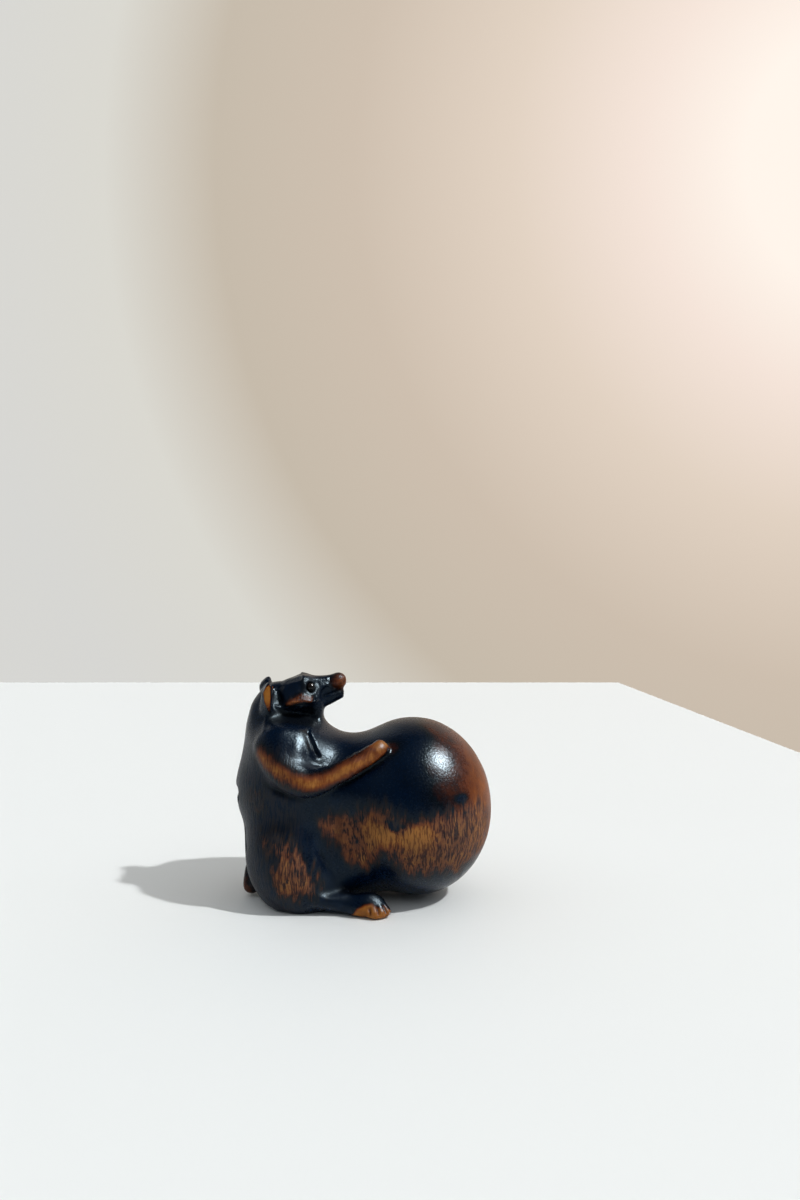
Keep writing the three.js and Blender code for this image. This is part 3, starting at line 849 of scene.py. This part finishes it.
for side, drop in zip(SIDES, (0, LEFT_DROP)):
    ridge, paw = side(ARM_RIDGE) - (0, 0, drop), side(PAW) - (0, 0, drop)
    rubbed = over(rubbed, 0.76 * brush(ridge, 1.35, ends=0.1), 0.74 * brush(paw, 1.5, ends=0.01))
    streaked = over(streaked, 0.26 * brush(ridge, 1.6, ends=0.05))
haunch_patch = fill(HAUNCH_PATCH, 1.1, move=(-0.6, 0.9), ragged=0.55)
thigh_patch = fill(THIGH_PATCH, 1.3, move=(-0.6, 0.9), ragged=0.5)
flank_patch = fill(FLANK_PATCH, 1.2)
on_foot = smoothstep(-9.2, -9.8, -np.abs(y)) * smoothstep(-0.25, 0.15, np.abs(out_y) - 0.6 * out_z)
rubbed = over(rubbed, 0.84 * on_foot * fill(FOOT_PATCH, 0.35), 0.50 * haunch_patch, 0.28 * thigh_patch)
rubbed += 0.22 * dab((-9.8, -9.5, 8.4), (1.5, 3.0, 1.2)) + 0.16 * dab((-9.9, -9.5, 5.0), (2.2, 3.0, 1.0))
rubbed -= 0.30 * dab((-9.4, -9.5, 6.8), (1.3, 3.0, 0.7))
rubbed = over(rubbed, 0.16 * flank_patch, 0.47 * brush(TAIL, 1.9, ends=0.01))
on_torso = smoothstep(-7.0, -11.0, x) * smoothstep(27.0, 23.0, z)
streaked = over(streaked, haunch_patch, 0.8 * thigh_patch, 0.7 * flank_patch, 0.45 * on_torso)
print("limbs painted, mean rub", rubbed.mean().round(3))

# %% Paint the head and the lip of the breast fold
EAR_LEAF = [(-14.7, 34.7), (-15.3, 34.3), (-15.8, 33.3), (-15.6, 32.3), (-15.3, 31.4), (-15.0, 30.6), (-14.6, 29.8),
            (-14.45, 30.9), (-14.45, 32.7), (-14.5, 34.1)]
CHEEK = [(-12.4, -3.9, 30.7), (-11.2, -4.0, 31.6), (-10.2, -3.9, 32.2), (-9.4, -3.7, 32.5), (-8.5, -3.3, 32.3),
         (-7.9, -3.0, 31.8)]
CROWN = [(-13.4, -1.2, 35.0), (-12.0, -1.6, 35.6), (-10.6, -1.4, 36.0)]
BROW = [(-9.8, -2.2, 35.5), (-9.5, -2.9, 34.4), (-9.3, -3.2, 33.2)]
LIP = [(-9.4, -6.3, 27.9), (-9.0, -7.1, 26.8), (-8.5, -7.7, 25.5), (-7.9, -8.1, 24.3)]
NOSE = (-3.9, 0.6, 34.6)
for side in HEAD_SIDES:
    ear = side([(a, -5.0, b) for a, b in EAR_LEAF])
    facing = smoothstep(0.1, 0.5, normals @ turned(side, (0, -1, 0)))
    leaf = facing * smoothstep(-0.12, 0.22, inside(ear[:, (0, 2)], x, z))
    leaf *= np.linalg.norm(skin - ear.mean(axis=0), axis=1) < 3.4
    rubbed = over(rubbed, (0.66 + 0.26 * smoothstep(30.2, 32.6, z)) * leaf)
    rubbed = over(rubbed, 0.60 * brush(side(CHEEK), 0.85), 0.36 * brush(side(LIP), 0.5, ends=0.2),
                  0.24 * brush(side(CROWN), 0.5, ends=0.2), 0.26 * brush(side(BROW), 0.45, ends=0.2))
    streaked = over(streaked, 0.3 * brush(side(CHEEK), 1.0, ends=0.05), 0.7 * brush(side(LIP), 0.6, ends=0.1))
rubbed = over(rubbed, 0.52 * np.minimum(1, 1.5 * dab(NOSE, (1.5, 1.7, 1.5))))
streaked = over(streaked, 0.35 * dab(NOSE, (1.8, 2.0, 1.8)))
print("head painted, mean rub", rubbed.mean().round(3))

# %% Paint wax and painted shade in hollows and grooves, and where the polish is dull
# Painted shade: the neck under the head and the hollow between ear and skull are painted black and kept unworn.
NECK_PAINTED_SHADE = [(-13.6, -4.4, 29.0), (-10.4, -3.6, 28.9), (-8.0, -2.6, 29.2)]
EAR_POCKET = [(-13.8, -3.0, 33.2), (-13.5, -3.1, 32.0)]
DULL_ON_HEAD = (((-13.6, -3.6, 32.0), 0.7, 1.6), ((-11.6, -3.4, 33.4), 0.3, 2.4))
DULL_ON_BODY = (((-5.4, -7.4, 25.4), 0.5, 1.8), ((-13.6, -4.6, 28.9), 1.0, 1.0), ((-7.0, -4.2, 28.9), 1.0, 1.0),
                ((2.2, -9.8, 3.0), 0.7, 2.0))
DULL_LINES = (([(-8.4, -9.2, 22.5), (-6.2, -9.2, 22.9), (-4.2, -9.3, 23.5)], 0.8),
              ([(-7.4, -8.8, 4.0), (-4.6, -9.6, 3.8), (-2.6, -9.6, 3.0)], 1.9))
matted = np.zeros(len(skin))
for side in HEAD_SIDES:
    wax_and_painted_shade = over(wax_and_painted_shade, 0.95 * np.minimum(1, 1.8 * brush(side(NECK_PAINTED_SHADE), 1.9, ends=0.03)),
                brush(side(EAR_POCKET), 1.0, ends=0.01))
# Painted shade along the cut creases and cord-hole rims, with wax in the cuts.
for line, width in WAX_AND_SHADE_LINES:
    wax_and_painted_shade = over(wax_and_painted_shade, 0.9 * brush(line, width, ends=0.02))
# Painted shade in the eye sockets round the beads; the polish there is also dulled.
for local in EYES.values():
    centre = eye_frame(local)[0]
    wax_and_painted_shade = over(wax_and_painted_shade, 0.9 * np.minimum(1, 1.6 * dab(centre, 1.25)))
    matted = over(matted, 0.7 * dab(centre, 2.0))
for sides, spots in ((HEAD_SIDES, DULL_ON_HEAD), (SIDES, DULL_ON_BODY)):
    for side in sides:
        for spot, share, radius in spots:
            matted = over(matted, share * dab(at(side, spot), radius))
for side in SIDES:
    for line, width in DULL_LINES:
        matted = over(matted, 0.9 * brush(side(line), width, ends=0.01))
print("dark points:", int((wax_and_painted_shade > 0.5).sum()), " dull points:", int((matted > 0.5).sum()))

# %% Store the four attributes on the skin
rubbed = np.clip(rubbed + 0.22 * proud * smoothstep(0.05, 0.4, spread(rubbed, 6)) + 0.06 * proud, 0, 1)
# Wear is taken away in the hollows, so the wax and the painted shade stay dark there.
rubbed = np.clip(rubbed * (1 - 0.9 * wax_and_painted_shade), 0, 1)
for name, values in (("rubbed", rubbed), ("streaked", np.clip(streaked, 0, 1)), ("wax_and_painted_shade", wax_and_painted_shade),
                     ("matted", np.clip(matted, 0, 1))):
    attribute = body.data.attributes.new(name, "FLOAT", "POINT")
    attribute.data.foreach_set("value", values.astype(np.float32))
    print(name, "mean", float(values.mean().round(3)))

# %% [markdown]
# ## Two shader groups for worn, stained wood
# Two effects are kept as node groups with named sockets, so that another stained piece can use them too:
# hair lines (long thin broken strokes that run one way) and rubbed stain (a soft painted mask whose edge
# is broken up by a noise of its own).


# %% Group: hair lines
def new_group(name, inputs, output):
    """An empty shader group with named sockets; inputs are (name, kind, value)."""
    group = bpy.data.node_groups.new(name, "ShaderNodeTree")
    for label, kind, value in inputs:
        socket = group.interface.new_socket(label, in_out="INPUT", socket_type=kind)
        if value is not None:
            socket.default_value = value
    group.interface.new_socket(output, in_out="OUTPUT", socket_type="NodeSocketFloat")
    wiring = Wiring(group)
    return wiring, wiring.node("NodeGroupInput").outputs, wiring.node("NodeGroupOutput").inputs


hair, hair_in, hair_out = new_group(
    "hair_lines",
    [("Place", "NodeSocketVector", None), ("Across", "NodeSocketFloat", 2600.0), ("Thin", "NodeSocketFloat", 0.5)],
    "Lines")
bend = hair.noise(hair_in["Place"], 260.0, 1.0, out="Color")
bent = hair.vector("MULTIPLY_ADD", bend, (0.0008, 0.0008, 0.0), hair_in["Place"])
drawn_out = hair.vector("MULTIPLY", bent, (1.0, 1.0, 0.13))
strokes = hair.noise(drawn_out, hair_in["Across"], 2.0, 0.6)
cut = hair.math("SUBTRACT", strokes, hair_in["Thin"])
hair.put(hair.clamp(hair.math("ADD", hair.math("MULTIPLY", cut, 9.0), 0.5)), hair_out["Lines"])
print("group made:", hair.tree.name)

# %% Group: rubbed stain
rub, rub_in, rub_out = new_group(
    "rubbed_stain",
    [("Place", "NodeSocketVector", None), ("Painted", "NodeSocketFloat", 0.0), ("Break-up", "NodeSocketFloat", 0.5)],
    "Worn")
coarse = rub.noise(rub_in["Place"], 420.0, 4.0, 0.62, 0.4)
fine_grain = rub.noise(rub_in["Place"], 1900.0, 3.0, 0.6)
broad = rub.noise(rub_in["Place"], 190.0, 3.0, 0.6, 0.6)
grains = rub.math("ADD", rub.math("MULTIPLY", coarse, 0.45), rub.math("MULTIPLY", fine_grain, 0.25))
grains = rub.math("MULTIPLY_ADD", broad, 0.35, grains)
swing = rub.math("MULTIPLY", rub.math("SUBTRACT", grains, 0.525), rub_in["Break-up"])
shaped = rub.math("MULTIPLY", swing, rub.between(rub_in["Painted"], 0.02, 0.3))
rub.put(rub.clamp(rub.math("ADD", rub_in["Painted"], shaped)), rub_out["Worn"])
print("group made:", rub.tree.name)

# %% [markdown]
# ## Finish: stained and handled boxwood
# Bare boxwood is a pale honey colour. Over it lies a near-black stain, thin and red-brown where it begins
# to wear, and a thin wax polish; the whole stain is coloured blue-black, and that blue is a painted
# reflection of a cool sky on the polish. Colour follows how much stain is left; hair strokes stay dark
# inside the worn patches, because the stain sits deeper in them. The polish is finest on whole stain and
# roughest on hair strokes and dulled places, its reflection is weak and a little blue, and faint tool marks
# break it up. The strokes run down round two upright axes, one through the torso and one through the belly.

# %% The wood's inputs: place, painted attributes and the hair strokes
TORSO_AXIS, BELLY_AXIS, RING = -0.0095, 0.0084, 0.0115
wood = bpy.data.materials.new("stained_boxwood_finish")
wood.use_nodes = True
wood_shader = wood.node_tree.nodes["Principled BSDF"]
w = Wiring(wood.node_tree)
place = w.node("ShaderNodeTexCoord").outputs["Object"]
painted, streaks, groove_wax_and_shade, dulled = (w.node("ShaderNodeAttribute", attribute_name=name).outputs["Fac"]
                                     for name in ("rubbed", "streaked", "wax_and_painted_shade", "matted"))
axes = w.feed(w.node("ShaderNodeSeparateXYZ"), {0: place})
own_axis = w.between(axes["X"], -0.0042, -0.0026, TORSO_AXIS, BELLY_AXIS)
from_axis = w.math("SUBTRACT", axes["X"], own_axis)
reach = w.math("SQRT", w.math("ADD", w.math("MULTIPLY", from_axis, from_axis),
                              w.math("MULTIPLY", axes["Y"], axes["Y"])))
ring = w.feed(w.node("ShaderNodeCombineXYZ"), {
    "X": w.math("MULTIPLY", w.math("DIVIDE", from_axis, reach), RING),
    "Y": w.math("MULTIPLY", w.math("DIVIDE", axes["Y"], reach), RING),
    "Z": w.math("MULTIPLY_ADD", reach, 0.8, axes["Z"])})
hairs = w.feed(w.node("ShaderNodeGroup", node_tree=hair.tree), {
    "Place": ring[0], "Across": 4200.0, "Thin": 0.52})["Lines"]
combed = w.math("MULTIPLY", w.math("SUBTRACT", 0.45, hairs), w.math("MULTIPLY", streaks, 0.32))
worn = w.feed(w.node("ShaderNodeGroup", node_tree=rub.tree), {
    "Place": place, "Painted": w.math("ADD", painted, combed),
    "Break-up": w.between(streaks, 0.0, 0.8, 0.8, 2.1)})["Worn"]
print("wood's inputs:", len(wood.node_tree.nodes), "nodes")

# %% Colour of the wood, from whole stain to bare wood
# The blue of the darkest stops is a painted reflection of a cool sky on the polish, laid on a near-black stain.
STAIN_AND_BLUE_SHEEN = ((0.00, (0.0006, 0.0050, 0.0165)), (0.18, (0.0022, 0.0040, 0.0075)), (0.34, (0.026, 0.0055, 0.0022)),
         (0.50, (0.100, 0.020, 0.0020)), (0.70, (0.215, 0.052, 0.0020)), (1.00, (0.420, 0.165, 0.026)))
CLOUD, TAN, FUR, HAIR_BLACK, WAX_AND_SHADE_BLACK = ((0.35, 0.33, 0.36), (0.235, 0.115, 0.055), (0.075, 0.050, 0.038),
                                          (0.0060, 0.0062, 0.0085), (0.0018, 0.0022, 0.0030))
clouds = w.noise(place, 240.0, 3.0, 0.6)
stain_and_blue_sheen = w.mix(w.between(clouds, 0.35, 0.7, 0.0, 0.5), w.ramp(worn, *STAIN_AND_BLUE_SHEEN), CLOUD, "MULTIPLY")
greyed = w.mix(w.math("MULTIPLY", streaks, 0.32), stain_and_blue_sheen, TAN)
in_patch = w.math("MULTIPLY", w.between(worn, 0.30, 0.60), streaks)
fur_share = w.math("MULTIPLY", w.math("SUBTRACT", 1.0, hairs), w.math("MULTIPLY", streaks, 0.34))
dark_hair = w.math("MULTIPLY", in_patch, w.between(hairs, 0.0, 1.0, 0.0, 0.9))
tone = w.mix(w.math("MULTIPLY", in_patch, 0.6), stain_and_blue_sheen, greyed)
tone = w.mix(dark_hair, w.mix(fur_share, tone, FUR), HAIR_BLACK)
# Wax and painted shade: hollows, creases, the neck and the eye sockets are mixed towards black.
tone = w.mix(w.math("MULTIPLY", groove_wax_and_shade, 0.85), tone, WAX_AND_SHADE_BLACK)
print("stain steps:", len(STAIN_AND_BLUE_SHEEN))

# %% Polish and tool marks
mottle = w.noise(place, 3000.0, 3.0, 0.6)
bare = w.math("MULTIPLY_ADD", w.between(worn, 0.35, 0.75), 0.13, w.between(mottle, 0.2, 0.8, 0.20, 0.30))
furry = w.math("MULTIPLY_ADD", w.math("MAXIMUM", streaks, dulled), 0.30, bare)
roughness = w.math("MULTIPLY_ADD", groove_wax_and_shade, 0.05, furry)
tool_marks = w.math("ADD", w.noise(place, 3900.0, 2.0, 0.55), w.math("MULTIPLY", mottle, 0.5))
hair_depth = w.math("MULTIPLY", hairs, w.between(streaks, 0.05, 0.9))
height = w.math("SUBTRACT", tool_marks, w.math("MULTIPLY", hair_depth, 0.9))
bump = w.feed(w.node("ShaderNodeBump"), {"Height": height, "Strength": 0.72, "Distance": 0.05 * MM})
w.feed(wood_shader, {
    "Base Color": tone, "Roughness": roughness, "Normal": bump["Normal"],
    "IOR": 1.5, "Specular IOR Level": 0.19, "Specular Tint": (0.68, 0.88, 1.0)})
body.data.materials.append(wood)
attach(body, "root")
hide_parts("tanuki")
print("finish on", body.name, ":", len(wood.node_tree.nodes), "nodes")

# %% [markdown]
# ## Finish: polished horn
# The beads are nearly black, with a hint of brown that varies inside the horn, under a clear hard gloss.

# %% Dark horn
HORN_BLACK, HORN_BROWN = (0.002, 0.002, 0.0025), (0.012, 0.007, 0.005)
horn = bpy.data.materials.new("dark_horn_finish")
horn.use_nodes = True
h = Wiring(horn.node_tree)
horn_place = h.node("ShaderNodeTexCoord").outputs["Object"]
smoke = h.noise(horn_place, 900.0, 3.0, 0.6, 0.5)
h.feed(horn.node_tree.nodes["Principled BSDF"], {
    "Base Color": h.ramp(smoke, (0.35, HORN_BLACK), (0.75, HORN_BROWN)),
    "Roughness": h.between(h.noise(horn_place, 4000.0), 0.3, 0.7, 0.10, 0.18),
    "Specular IOR Level": 0.22, "Coat Weight": 0.1, "Coat Roughness": 0.06})
for bead in (right_bead, left_bead):
    bead.data.materials.append(horn)
print("finish on both beads")

# %% Update the scene and finish
bpy.context.view_layer.update()
